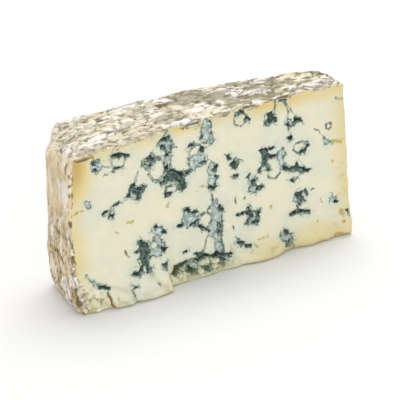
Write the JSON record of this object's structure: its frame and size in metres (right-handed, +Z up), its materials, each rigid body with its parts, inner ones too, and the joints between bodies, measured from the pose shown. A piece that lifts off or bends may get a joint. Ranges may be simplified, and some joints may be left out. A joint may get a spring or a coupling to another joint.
{
  "type": "gorgonzola wedge",
  "caption": "Blunt-nosed wedge of blue-veined cheese cut from a half-height wheel, with natural rind on its curved end and top and a crumbled lower edge.",
  "frame": {"origin": "on the resting face, at the middle of the footprint", "axes": "+Z up; +X along the long cut face from the rind end to the blunt nose; -Y is the way the long cut face looks"},
  "size_m": [0.1526, 0.046, 0.0844],
  "materials": {
    "cheese": "matte, slightly moist paste"
  },
  "bodies": {
    "root": {"cheese_wedge": "cheese"}
  },
  "joints": []
}
